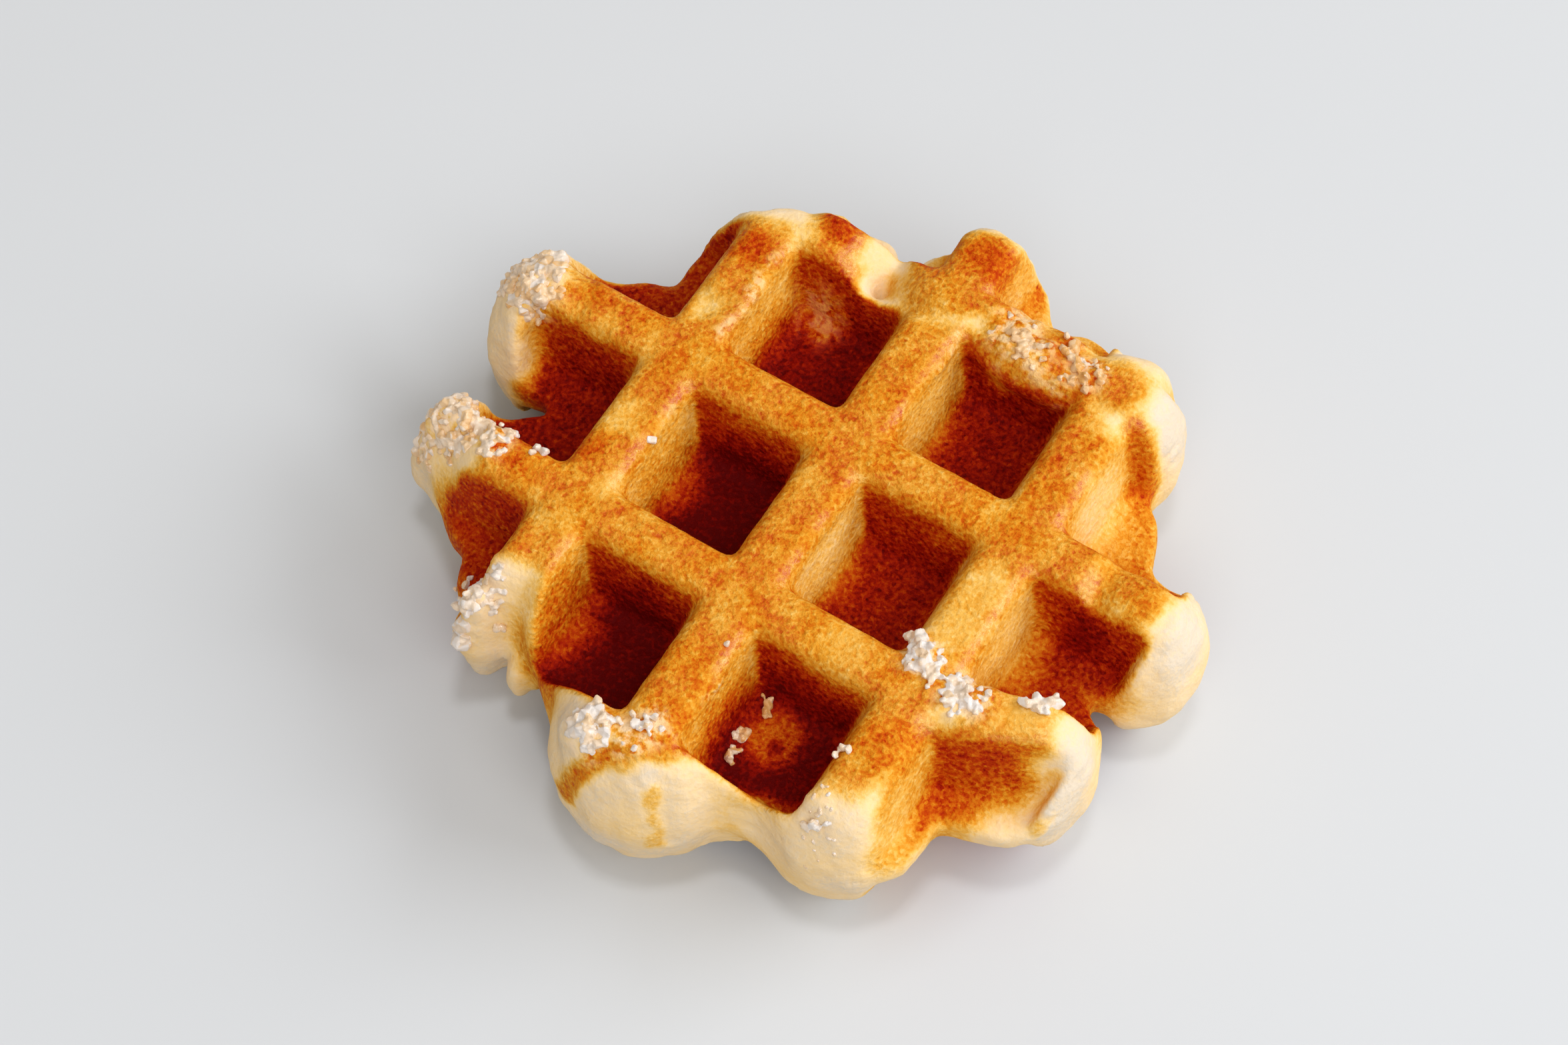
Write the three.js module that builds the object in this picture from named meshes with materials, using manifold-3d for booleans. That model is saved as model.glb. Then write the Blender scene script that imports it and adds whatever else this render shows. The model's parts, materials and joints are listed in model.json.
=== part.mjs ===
// A liege waffle: sweet yeast dough pressed between two ribbed iron plates, so both faces carry
// the same square grid of ridges and pockets, and the dough ran out in rounded lobes at the rim.
// Millimetres, +Z up. X runs along the B ridges and Y along the A ridges.
// The waffle lies on the flat tops of its lower ridges at z = 0.

import * as THREE from "three";
import Module from "manifold-3d";

const wasm = await Module();
wasm.setup();

// The iron plates.
const PITCH = 23; // from ridge to ridge, both ways
const RIDGE_A = 6.5; // width of an A ridge at its top
const RIDGE_B = 6; // width of a B ridge at its top
const POCKET_DEPTH = 10.5;
const WEB = 4.5; // dough between an upper pocket and the lower one under it
const DRAFT = 2.5; // how far a pocket wall leans in from mouth to floor
const THICK = WEB + 2 * POCKET_DEPTH;
const MID = THICK / 2;
const SHOULDER = 1.8; // rounding of the ridge tops
const FOOT = 1.6; // rounding at the pocket floors
const CORNER = 1.5; // rounding of the pocket corners

// The free rim of the dough, as discs at half height that run together: x, y, radius and how
// far in from the rim the dough starts to round off.
const CORE = [0, 0, 34, 5];
const LOBES = [
  [39, 11.5, 8.5, 8], // right end of ridge B2
  [32.5, -8, 11.5, 8], // right end of B1
  [20.5, -22, 11, 8], // lower end of A3
  [-1.5, -28.5, 12, 8], // lower end of A2
  [-26.5, -27, 3, 6], // lower end of A1
  [-25.5, -19.5, 7.5, 6], // and its root
  [-45.5, -12.5, 0.5, 6], // tip of the left end of B1
  [-40.5, -9, 6, 8], // left end of B1
  [-30.5, -9.5, 11, 7], // and its root
  [-40.5, 10.5, 9, 8], // left end of B2
  [-30, 12, 12, 6], // and its root
  [-20, 26.5, 12.5, 6], // upper end of A1
  [-15, 36.7, 6.5, 3.5], // left end of B3
  [0.5, 38.5, 10.5, 5.5], // upper end of A2
  [15, 39, 5.5, 3.5], // B3 between A2 and A3
  [23.5, 34.5, 8.5, 6.5], // upper end of A3
  [12.5, 13, 25, 6], // web of the upper right side
];
const LOBE_BLEND = 2.5; // how softly the discs run together
const EDGE_REACH = 2.5; // how far one disc's rounding reaches into its neighbours'
const EDGE_FAR = 40; // past this distance a disc no longer counts less
const RIM_BLEND = 1.5; // rounding where the rim meets the ridges
const RIM_HALF = MID + 0.1; // half height of the rim's round section

// Unevenness of the free rim: its depth, and how long its waves are along X, Y and Z.
const RIPPLE = 0.35;
const FINE_WAVES = [7.6, 8.8];
const BROAD_WAVES = [13.4, -12.1, 10.5];

// Ridge tops that the dough did not fill: x, y, radius, depth.
const SAGS = [
  [-9.5, 36.5, 4.5, 2.4],
  [-9, 32, 4, 2],
  [11, -36, 7, 1.2],
  [23, -30, 6, 1],
];

// Thicker places of melted sugar and dough, as ellipsoids: x, y, z, then the three radii.
const LUMPS = [
  [12.5, 33.6, 22.6, 8.5, 4.6, 3.2],
  [-5.5, -34.5, 21.8, 4, 3, 3.4],
  [-20.6, -27.9, 9, 1.5, 1.9, 4.2],
];
const LUMP_BLEND = 1.2; // how softly they run into the dough
const HEADROOM = 3.2; // room for them above the ridge tops

// The stub of B1 at the lower right, pulled aside as the waffle came off the iron.
const BEND_FROM_X = 26;
const BEND_SLOPE = 0.42;
const BEND_Y = -9;
const BEND_REACH = 8;

// Pearl sugar: rows of grains fused to the crust, from x, y to x, y, then the width of the
// row, how many grains, and their size.
const SUGAR = [
  [-30.5, -23.6, -26.5, -26.2, 1.2, 4, 1.7],
  [-24.6, -26.6, -23, -27, 0.8, 2, 1.6],
  [-27.2, -27.8, -26.2, -28.4, 0.4, 2, 2.2],
  [-6, -32.6, -6.2, -35.4, 2, 4, 1.9],
  [-3.4, -33.4, 0.2, -31, 1.4, 3, 1.6],
  [7.4, -17.8, 7.6, -19, 0.8, 2, 1.3],
  [7.6, -21.6, 6.8, -26.2, 0.6, 3, 1.5],
  [19.8, -5, 21.4, -8, 1.2, 3, 2.1],
  [21.8, -8.4, 24.4, -9.6, 1.8, 4, 1.8],
  [26, -9.8, 29, -9.2, 1.8, 4, 1.6],
  [34.6, -5.8, 37.2, -4.8, 1, 3, 2],
  [20.4, -22, 20.8, -21.8, 0, 1, 1.5],
  [21.2, -29, 22.4, -30.8, 1.4, 2, 1.5],
  [-41.6, -8, -38.8, -8.8, 1.8, 3, 2],
  [-40.6, -11.8, -37.6, -12, 1.8, 3, 1.8],
  [-36.2, -9.4, -32.8, -8.8, 1.4, 3, 1.8],
  [-29.2, -8.8, -29.2, -8.8, 0, 1, 1.9],
  [-44, 8.4, -41, 9.2, 2, 4, 1.9],
  [7.6, 33.8, 12.4, 33, 2, 4, 1.9],
  [15.2, 35.2, 20.4, 33.6, 2.4, 5, 1.8],
];
const GRAIN_SINK = 0.4; // share of a grain's size that is below the crust
const GRAIN_SHAPE = [1, 0.84, 0.72]; // its length, width and height, as shares of its size
const GRAIN_JITTER = 0.16; // how far its corners stray, as a share of its size
const GRAIN_SPREAD = 0.25; // how much the sizes in a row differ, as a share
const GRAIN_TILT = 0.9; // the most that it leans, in radians
const SUGAR_SEED = 19;

// The planes that the dough is sampled on: distances from a ridge's middle line out to mid
// pocket, and heights up to the middle of the thickness.
const ACROSS = [0, 2.15, 4.3, 6.7, 9.1];
const HEIGHTS = [-0.9, 1.1, 3.7, 6.6, 9.3, 11.7];
const REACH = 54; // how far the planes go each way
const RIDGES = 3; // ridges each way from the middle one
const FILLED = -0.05; // value of a corner that is filled

// How a point is drawn onto the surface.
const ROUNDS = 3;
const LONGEST_STEP = 0.5;
const LEAST_SLOPE = 0.5;
const PROBE = 0.05; // half the width of a slope's sample
const DROP = 0.2; // step of the search down from above
const SNAP = 0.2; // vertices this close to the table are put on it

const TURN = 2 * Math.PI;

function smoothMin(a, b, k) {
  const h = Math.min(Math.max(0.5 + (0.5 * (b - a)) / k, 0), 1);
  return b + (a - b) * h - k * h * (1 - h);
}

function smoothMax(a, b, k) {
  return -smoothMin(-a, -b, k);
}

function ripple(x, y, z) {
  const [fineX, fineY] = FINE_WAVES;
  const [broadX, broadY, broadZ] = BROAD_WAVES;
  const fine = Math.sin((TURN * x) / fineX) * Math.sin((TURN * y) / fineY);
  const broad = Math.sin(TURN * (x / broadX + y / broadY + z / broadZ));
  return (fine + broad) / 2;
}

// Distance to the rim at half height, less than 0 inside.
function outline(x, y) {
  let f = Math.hypot(x - CORE[0], y - CORE[1]) - CORE[2];
  for (const [cx, cy, r] of LOBES) {
    f = smoothMin(f, Math.hypot(x - cx, y - cy) - r, LOBE_BLEND);
  }
  return f;
}

function edgeAt(x, y, f) {
  let sum = 0;
  let weight = 0;
  for (const [cx, cy, r, edge] of [CORE, ...LOBES]) {
    const away = Math.min(Math.max(Math.hypot(x - cx, y - cy) - r - f, 0), EDGE_FAR);
    const w = Math.exp(-away / EDGE_REACH);
    sum += w * edge;
    weight += w;
  }
  return sum / weight;
}

// The free surface of the dough between the plates, round like a drop squeezed between them.
function rim(x, y, z) {
  const f = outline(x, y) + RIPPLE * ripple(x, y, z);
  const up = Math.abs(z - MID) / RIM_HALF;
  return f + edgeAt(x, y, f) * (1 - Math.sqrt(Math.max(1 - up * up, 0)));
}

function bend(x, y) {
  const away = (y - BEND_Y) / BEND_REACH;
  return BEND_SLOPE * Math.max(x - BEND_FROM_X, 0) * Math.exp(-away * away);
}

function sag(x, y) {
  let depth = 0;
  for (const [cx, cy, r, d] of SAGS) {
    depth += d * Math.exp(-((x - cx) ** 2 + (y - cy) ** 2) / (r * r));
  }
  return depth;
}

// The room between the two plates: a slab with a pocket pressed into every square.
function plates(x, y, z) {
  const slope = DRAFT / POCKET_DEPTH;
  const lean = 1 / Math.hypot(1, slope);
  const yb = y - bend(x, y) - PITCH / 2;
  const fromA = Math.abs(x - PITCH * Math.round(x / PITCH));
  const fromB = Math.abs(yb - PITCH * Math.round(yb / PITCH));
  const height = Math.abs(z - MID);
  const deep = height - WEB / 2;
  const floorA = (PITCH - RIDGE_A) / 2 - DRAFT;
  const floorB = (PITCH - RIDGE_B) / 2 - DRAFT;
  const wallA = (PITCH / 2 - fromA - floorA - deep * slope) * lean;
  const wallB = (PITCH / 2 - fromB - floorB - deep * slope) * lean;
  const pocket = smoothMax(smoothMax(wallA, wallB, CORNER), -deep, FOOT);
  const top = THICK / 2 - (z > MID ? sag(x, y) : 0);
  return smoothMax(height - top, -pocket, SHOULDER);
}

function lumps(x, y, z) {
  let g = Infinity;
  for (const [cx, cy, cz, rx, ry, rz] of LUMPS) {
    const d = Math.hypot((x - cx) / rx, (y - cy) / ry, (z - cz) / rz) - 1;
    const v = d * Math.min(rx, ry, rz);
    g = g === Infinity ? v : smoothMin(g, v, LUMP_BLEND);
  }
  return g;
}

function dough(x, y, z) {
  const body = smoothMax(plates(x, y, z), rim(x, y, z), RIM_BLEND);
  return smoothMin(body, lumps(x, y, z), LUMP_BLEND);
}

function slopeOf(x, y, z) {
  return new THREE.Vector3(
    dough(x + PROBE, y, z) - dough(x - PROBE, y, z),
    dough(x, y + PROBE, z) - dough(x, y - PROBE, z),
    dough(x, y, z + PROBE) - dough(x, y, z - PROBE),
  ).divideScalar(2 * PROBE);
}

// Planes across a ridge grid whose ridges stand at offset + n * PITCH.
function planes(offset) {
  const found = [];
  for (let n = -RIDGES; n <= RIDGES; n++) {
    for (const d of ACROSS) {
      found.push(offset + n * PITCH + d);
      if (d > 0) found.push(offset + n * PITCH - d);
    }
  }
  return found.filter((v) => Math.abs(v) < REACH).sort((a, b) => a - b);
}

// Samples the dough on the planes. A cell whose corners split into more than two groups would
// pinch the surface, so its outer corners are filled until none is left.
function sampled(xs, ys, zs) {
  const nx = xs.length;
  const ny = ys.length;
  const nz = zs.length;
  const at = (i, j, k) => (i * ny + j) * nz + k;
  const value = new Float64Array(nx * ny * nz);
  for (let i = 0; i < nx; i++) {
    for (let j = 0; j < ny; j++) {
      for (let k = 0; k < nz; k++) {
        value[at(i, j, k)] = dough(xs[i], ys[j], zs[k]);
      }
    }
  }
  let pinched = true;
  while (pinched) {
    pinched = false;
    for (let i = 0; i < nx - 1; i++) {
      for (let j = 0; j < ny - 1; j++) {
        for (let k = 0; k < nz - 1; k++) {
          const corner = [0, 1, 2, 3, 4, 5, 6, 7].map((c) => {
            return at(i + (c & 1), j + ((c >> 1) & 1), k + (c >> 2));
          });
          const inside = corner.map((c) => value[c] < 0);
          if (groups(inside, true) > 1 || groups(inside, false) > 1) {
            corner.forEach((c) => {
              if (value[c] >= 0) value[c] = FILLED;
            });
            pinched = true;
          }
        }
      }
    }
  }
  return { value, at };
}

// How many groups of like corners a cell has, joined along its edges.
function groups(inside, side) {
  const seen = new Array(8).fill(false);
  let count = 0;
  for (let c = 0; c < 8; c++) {
    if (inside[c] !== side || seen[c]) continue;
    count++;
    const stack = [c];
    seen[c] = true;
    while (stack.length) {
      const at = stack.pop();
      for (const next of [at ^ 1, at ^ 2, at ^ 4]) {
        if (inside[next] === side && !seen[next]) {
          seen[next] = true;
          stack.push(next);
        }
      }
    }
  }
  return count;
}

// A closed mesh of the dough: one vertex in every cell that the surface crosses, drawn onto
// the surface, and a quad round every crossed grid edge.
function doughMesh() {
  const xs = planes(0);
  const ys = planes(PITCH / 2);
  const zs = [...HEIGHTS, ...HEIGHTS.map((h) => THICK - h).reverse(), THICK + HEADROOM];
  const { value, at } = sampled(xs, ys, zs);
  const points = [];
  const vertexOf = new Map();
  const grid = [xs, ys, zs];

  function vertexIn(cell) {
    const key = at(...cell);
    if (vertexOf.has(key)) return vertexOf.get(key);
    const sum = new THREE.Vector3();
    let count = 0;
    for (let axis = 0; axis < 3; axis++) {
      const u = (axis + 1) % 3;
      const v = (axis + 2) % 3;
      for (let c = 0; c < 4; c++) {
        const a = [...cell];
        a[u] += c & 1;
        a[v] += c >> 1;
        const b = [...a];
        b[axis] += 1;
        const fa = value[at(...a)];
        const fb = value[at(...b)];
        if (fa < 0 === fb < 0) continue;
        const p = a.map((n, m) => grid[m][n]);
        p[axis] += ((grid[axis][b[axis]] - grid[axis][a[axis]]) * fa) / (fa - fb);
        sum.add(new THREE.Vector3(...p));
        count++;
      }
    }
    sum.divideScalar(count);
    vertexOf.set(key, points.length);
    points.push(settled(sum));
    return points.length - 1;
  }

  const index = [];
  for (let axis = 0; axis < 3; axis++) {
    const u = (axis + 1) % 3;
    const v = (axis + 2) % 3;
    for (let i = 0; i < grid[axis].length - 1; i++) {
      for (let j = 1; j < grid[u].length - 1; j++) {
        for (let k = 1; k < grid[v].length - 1; k++) {
          const a = [0, 0, 0];
          a[axis] = i;
          a[u] = j;
          a[v] = k;
          const b = [...a];
          b[axis] += 1;
          const inA = value[at(...a)] < 0;
          if (inA === value[at(...b)] < 0) continue;
          const q = [[0, 0], [-1, 0], [-1, -1], [0, -1]].map(([du, dv]) => {
            const cell = [...a];
            cell[u] += du;
            cell[v] += dv;
            return vertexIn(cell);
          });
          if (!inA) q.reverse();
          index.push(...shorterSplit(q, points));
        }
      }
    }
  }
  return { points, index };
}

// Two triangles of a quad, cut along its shorter diagonal.
function shorterSplit([a, b, c, d], points) {
  const ac = points[a].distanceTo(points[c]);
  const bd = points[b].distanceTo(points[d]);
  return ac <= bd ? [a, b, c, a, c, d] : [a, b, d, b, c, d];
}

// Draws a point onto the surface, and onto the table where it is close to it.
function settled(p) {
  for (let n = 0; n < ROUNDS; n++) {
    const slope = slopeOf(p.x, p.y, p.z);
    const step = dough(p.x, p.y, p.z) / Math.max(slope.lengthSq(), LEAST_SLOPE ** 2);
    p.addScaledVector(slope, -Math.min(Math.max(step, -LONGEST_STEP), LONGEST_STEP));
  }
  if (p.z < SNAP) p.z = 0;
  return p;
}

function solid(points, index) {
  const flat = new Float32Array(points.flatMap((p) => [p.x, p.y, p.z]));
  return new wasm.Manifold(
    new wasm.Mesh({ numProp: 3, vertProperties: flat, triVerts: new Uint32Array(index) }),
  );
}

function randomFrom(seed) {
  let state = seed >>> 0;
  return () => {
    state = (state + 0x6d2b79f5) >>> 0;
    let t = Math.imul(state ^ (state >>> 15), state | 1);
    t ^= t + Math.imul(t ^ (t >>> 7), t | 61);
    return ((t ^ (t >>> 14)) >>> 0) / 4294967296;
  };
}

// The crust straight below a point high above it.
function crustBelow(x, y) {
  let high = THICK + HEADROOM;
  while (dough(x, y, high) > 0 && high > MID) high -= DROP;
  return settled(new THREE.Vector3(x, y, high));
}

// The six sides of a block, by the numbers of its corners, and their triangles.
const SIDES = [[0, 3, 2, 1], [4, 5, 6, 7], [0, 1, 5, 4], [1, 2, 6, 5], [2, 3, 7, 6], [3, 0, 4, 7]];
const BLOCK = SIDES.flatMap(([a, b, c, d]) => [a, b, c, a, c, d]);

// One uneven block of sugar, sunk a little into the crust.
function grain(x, y, size, random) {
  const foot = crustBelow(x, y);
  const out = slopeOf(foot.x, foot.y, foot.z).normalize();
  const centre = foot.addScaledVector(out, size * (0.5 - GRAIN_SINK));
  const turn = new THREE.Quaternion().setFromEuler(
    new THREE.Euler(random() * GRAIN_TILT, random() * GRAIN_TILT, random() * TURN),
  );
  const half = GRAIN_SHAPE.map((share) => (share * size) / 2);
  const corners = [[-1, -1], [1, -1], [1, 1], [-1, 1]];
  const points = [-1, 1].flatMap((side) =>
    corners.map(([cx, cy]) => {
      const p = new THREE.Vector3(cx * half[0], cy * half[1], side * half[2]);
      p.x += (random() - 0.5) * 2 * GRAIN_JITTER * size;
      p.y += (random() - 0.5) * 2 * GRAIN_JITTER * size;
      p.z += (random() - 0.5) * GRAIN_JITTER * size;
      return p.applyQuaternion(turn).add(centre);
    }),
  );
  return solid(points, BLOCK);
}

function sugarGrains() {
  const random = randomFrom(SUGAR_SEED);
  const made = [];
  for (const [x0, y0, x1, y1, width, count, size] of SUGAR) {
    const along = new THREE.Vector2(x1 - x0, y1 - y0);
    const side = new THREE.Vector2(-along.y, along.x).normalize();
    for (let n = 0; n < count; n++) {
      const t = (n + random()) / count;
      const off = (random() - 0.5) * width;
      const x = x0 + along.x * t + side.x * off;
      const y = y0 + along.y * t + side.y * off;
      const spread = 1 + GRAIN_SPREAD * (2 * random() - 1);
      made.push(grain(x, y, size * spread, random));
    }
  }
  return made;
}

const body = doughMesh();
const waffle = wasm.Manifold.union([solid(body.points, body.index), ...sugarGrains()]);

function geometryOf(made) {
  const mesh = made.getMesh();
  const geometry = new THREE.BufferGeometry();
  geometry.setAttribute("position", new THREE.BufferAttribute(mesh.vertProperties, 3));
  geometry.setIndex(new THREE.BufferAttribute(mesh.triVerts, 1));
  geometry.computeBoundingBox();
  const middle = geometry.boundingBox.getCenter(new THREE.Vector3());
  geometry.translate(-middle.x, -middle.y, 0);
  geometry.computeVertexNormals();
  return geometry;
}

const crust = new THREE.MeshStandardMaterial({
  name: "baked crust",
  color: 0xc8782a,
  roughness: 0.6,
  metalness: 0,
});
const mesh = new THREE.Mesh(geometryOf(waffle), crust);
mesh.name = "waffle";

const group = new THREE.Group();
group.name = "liege_waffle";
group.add(mesh);
export default group;
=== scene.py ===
"""A liege waffle in its finished looks: the fine baked crust, and the pearl sugar that lies on it.

The shape is worked out in millimetres on the axes of the iron's grid, from the same named sizes
as the CAD part, and put into the part's frame in metres at the end.
"""

import json
import math

import bpy
import numpy as np
from mathutils import Euler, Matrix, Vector, noise
from mathutils.bvhtree import BVHTree


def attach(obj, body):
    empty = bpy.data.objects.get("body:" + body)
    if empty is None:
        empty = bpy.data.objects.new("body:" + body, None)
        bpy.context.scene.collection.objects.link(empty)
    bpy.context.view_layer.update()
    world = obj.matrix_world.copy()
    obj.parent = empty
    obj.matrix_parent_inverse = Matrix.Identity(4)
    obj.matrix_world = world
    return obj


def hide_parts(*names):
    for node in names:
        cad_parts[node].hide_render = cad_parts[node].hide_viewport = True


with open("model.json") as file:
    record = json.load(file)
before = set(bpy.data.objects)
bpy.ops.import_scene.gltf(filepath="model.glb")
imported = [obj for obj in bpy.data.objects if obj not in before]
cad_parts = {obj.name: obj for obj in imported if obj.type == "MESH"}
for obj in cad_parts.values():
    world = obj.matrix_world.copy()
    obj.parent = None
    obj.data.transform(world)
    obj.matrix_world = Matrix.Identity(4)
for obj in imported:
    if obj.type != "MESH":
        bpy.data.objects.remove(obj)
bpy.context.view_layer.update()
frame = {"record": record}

MM = 0.001

# ---------------------------------------------------------------- named sizes, in millimetres

# The iron plates.
PITCH = 23.0
RIDGE_A = 6.5
RIDGE_B = 6.0
POCKET_DEPTH = 10.5
WEB = 4.5
DRAFT = 2.5
THICK = WEB + 2 * POCKET_DEPTH
MID = THICK / 2
SHOULDER = 1.8
FOOT = 1.6
CORNER = 1.5

# The free rim of the dough, as discs at half height that run together: x, y, radius and how
# far in from the rim the dough starts to round off.
CORE = (0, 0, 34, 5)
LOBES = (
    (39, 11.5, 8.5, 8),  # right end of ridge B2
    (32.5, -8, 11.5, 8),  # right end of B1
    (20.5, -22, 11, 8),  # lower end of A3
    (-1.5, -28.5, 12, 8),  # lower end of A2
    (-26.5, -27, 3, 6),  # lower end of A1
    (-25.5, -19.5, 7.5, 6),  # and its root
    (-45.5, -12.5, 0.5, 6),  # tip of the left end of B1
    (-40.5, -9, 6, 8),  # left end of B1
    (-30.5, -9.5, 11, 7),  # and its root
    (-40.5, 10.5, 9, 8),  # left end of B2
    (-30, 12, 12, 6),  # and its root
    (-20, 26.5, 12.5, 6),  # upper end of A1
    (-15, 36.7, 6.5, 3.5),  # left end of B3
    (0.5, 38.5, 10.5, 5.5),  # upper end of A2
    (15, 39, 5.5, 3.5),  # B3 between A2 and A3
    (23.5, 34.5, 8.5, 6.5),  # upper end of A3
    (12.5, 13, 25, 6),  # web of the upper right side
)
LOBE_BLEND = 2.5  # how widely the discs run together
EDGE_REACH = 2.5  # distance over which a disc's say in the rounding falls off
EDGE_FAR = 40  # past this its distance makes no difference
RIM_BLEND = 1.5
RIM_HALF = MID + 0.1  # half the height over which the rim is round

# Unevenness of the free rim: its depth, and how long its waves are along X, Y and Z.
RIPPLE = 0.35
FINE_WAVES = (7.6, 8.8)
BROAD_WAVES = (13.4, -12.1, 10.5)

# Ridge tops that the dough did not fill: x, y, radius, depth.
SAGS = ((-9.5, 36.5, 4.5, 2.4), (-9, 32, 4, 2), (11, -36, 7, 1.2), (23, -30, 6, 1))

# Thicker places of melted sugar and dough, as ellipsoids: x, y, z, then the three radii.
LUMPS = (
    (12.5, 33.6, 22.6, 8.5, 4.6, 3.2),
    (-5.5, -34.5, 21.8, 4, 3, 3.4),
    (-20.6, -27.9, 9, 1.5, 1.9, 4.2),
)
LUMP_BLEND = 1.2

# The stub of B1 at the lower right, pulled aside as the waffle came off the iron.
BEND_FROM_X = 26
BEND_SLOPE = 0.42
BEND_Y = -9
BEND_REACH = 8

# Pearl sugar, the rows of large grains that the CAD part has too: from x, y to x, y, then the
# width of the row, how many grains, and their size.
SUGAR = (
    (-30.5, -23.6, -26.5, -26.2, 1.2, 4, 1.7),
    (-24.6, -26.6, -23, -27, 0.8, 2, 1.6),
    (-27.2, -27.8, -26.2, -28.4, 0.4, 2, 2.2),
    (-6, -32.6, -6.2, -35.4, 2, 4, 1.9),
    (-3.4, -33.4, 0.2, -31, 1.4, 3, 1.6),
    (7.4, -17.8, 7.6, -19, 0.8, 2, 1.3),
    (7.6, -21.6, 6.8, -26.2, 0.6, 3, 1.5),
    (19.8, -5, 21.4, -8, 1.2, 3, 2.1),
    (21.8, -8.4, 24.4, -9.6, 1.8, 4, 1.8),
    (26, -9.8, 29, -9.2, 1.8, 4, 1.6),
    (34.6, -5.8, 37.2, -4.8, 1, 3, 2),
    (20.4, -22, 20.8, -21.8, 0, 1, 1.5),
    (21.2, -29, 22.4, -30.8, 1.4, 2, 1.5),
    (-41.6, -8, -38.8, -8.8, 1.8, 3, 2),
    (-40.6, -11.8, -37.6, -12, 1.8, 3, 1.8),
    (-36.2, -9.4, -32.8, -8.8, 1.4, 3, 1.8),
    (-29.2, -8.8, -29.2, -8.8, 0, 1, 1.9),
    (-44, 8.4, -41, 9.2, 2, 4, 1.9),
    (7.6, 33.8, 12.4, 33, 2, 4, 1.9),
    (15.2, 35.2, 20.4, 33.6, 2.4, 5, 1.8),
)
GRAIN_SINK = 0.4  # how deep a large grain is sunk, as a share of its size
GRAIN_SPREAD = 0.25  # how far a grain's size may lie from its row's, as a share
BLOCK_DRAWS = 24  # draws that the CAD part spends on a grain's corners
SUGAR_SEED = 19  # the CAD part's own

# Crystals: uneven blocks about 1 across, before they are sized.
CRYSTAL_SEED = 101
CRYSTAL_KINDS = 24
CRYSTAL_POINTS = 17  # points that a block is the hull of
CRYSTAL_POWER = 4  # 2 would lay them on a ball, and more is blockier
CRYSTAL_STRETCH = (1, 0.85, 0.75)
CRYSTAL_SIZES = (0.6, 0.5)  # the least share of a place's size, and how much may be added
CRYSTAL_SINK = 0.1  # how deep its middle lies, as a share of its size

# A large grain is one crystal with smaller ones grown round it. Sizes are shares of the grain's.
LUMP_MIDDLE = 0.8  # size of the one
LUMP_CRYSTALS = 4  # how many smaller ones
LUMP_SIZES = (0.45, 0.25)  # their least size, and how much may be added
LUMP_SPREAD = 1.3  # width of the space that they lie in
LUMP_FLATTENED = 0.8  # share by which that space is thinner, out from the crust

MELT_STEP = 0.17  # spacing of the sugar's mesh

# Melted sugar with finer crystals in it: x, y and radius of the place, how many crystals, their
# size, and how thick the melted sugar lies, from 0 to 1.
MELTS = (
    (-41.5, -9.5, 5, 170, 1.5, 1),  # left end of B1
    (-35.5, -10.5, 2.6, 36, 1.3, 0.9),
    (-43.5, 10.5, 4.2, 110, 1.5, 1),  # left end of B2
    (-45, 14, 3.5, 60, 1.5, 1),
    (-26.3, -25.4, 2.6, 44, 1.3, 0.9),  # lower end of A1
    (-5.3, -34.8, 2.6, 56, 1.4, 1),  # lower end of A2
    (-1, -33.4, 2, 4, 1.2, 1),
    (0.4, -31.4, 2, 3, 1.2, 1),
    (21.8, -7.8, 2.4, 34, 1.3, 0.95),  # where A3 crosses B1
    (28, -9.3, 3, 36, 1.3, 1),
    (35.8, -5.3, 1, 3, 1.4, 0.3),  # right end of B1
    (20.5, -28.9, 2.2, 12, 0.8, 0.5),  # lower end of A3
    (22.5, -31.2, 2.2, 12, 0.8, 0.5),
    (7.2, -23.6, 1.6, 2, 0.9, 0),  # a pocket floor
    (8.8, 34.6, 3.2, 12, 1.2, 0.95),  # B3
    (12.3, 32.9, 2.4, 8, 1.2, 0.8),
    (19, 34.2, 2.4, 14, 1.2, 0.8),
    (16.6, 31.8, 1.6, 4, 1, 0.6),
    (-19.7, -0.3, 0.2, 1, 1.6, 0),  # single crystals
    (2.1, -18.2, 0.2, 1, 1.4, 0),
    (-27, -29.7, 0.5, 6, 3, 0),  # a loose grain at the edge of A1's lower end
)

# The part's frame has the mount point of its underside, which lies where A2 crosses B2.
UNDERSIDE = frame["record"]["mounts"][0]["pos_m"]
GRID_ORIGIN = np.array(UNDERSIDE) * 1000 - (0, PITCH / 2, 0)

GRID_STEP = 0.6  # spacing of the crust's mesh
GRID_LOW = (-54, -46, -1.4)  # the box that it is made in
GRID_HIGH = (54, 54, THICK + 3)
SETTLE_ROUNDS = 3  # rounds of drawing its points onto the surface
SETTLE_STEP = 0.5  # the furthest that a point goes in a round
LEAST_SLOPE = 0.25  # the least squared slope that counts, where the field is nearly flat
SNAP = 0.2  # points this close to the table are put on it
HIGH_UP = THICK + 9  # height that the sugar is dropped from
TINY = 1e-9

# ---------------------------------------------------------------- small helpers


def smooth_min(a, b, k):
    h = np.clip(0.5 + 0.5 * (b - a) / k, 0, 1)
    return b + (a - b) * h - k * h * (1 - h)


def smooth_max(a, b, k):
    return -smooth_min(-a, -b, k)


def smooth_step(low, high, value):
    t = np.clip((value - low) / (high - low), 0, 1)
    return t * t * (3 - 2 * t)


def noise_at(p, strength, size, seed):
    """Smooth noise at each point, within about that strength of 0, with features of that size."""
    return strength * np.array([noise.noise(Vector(q)) for q in p / size + seed])


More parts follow.
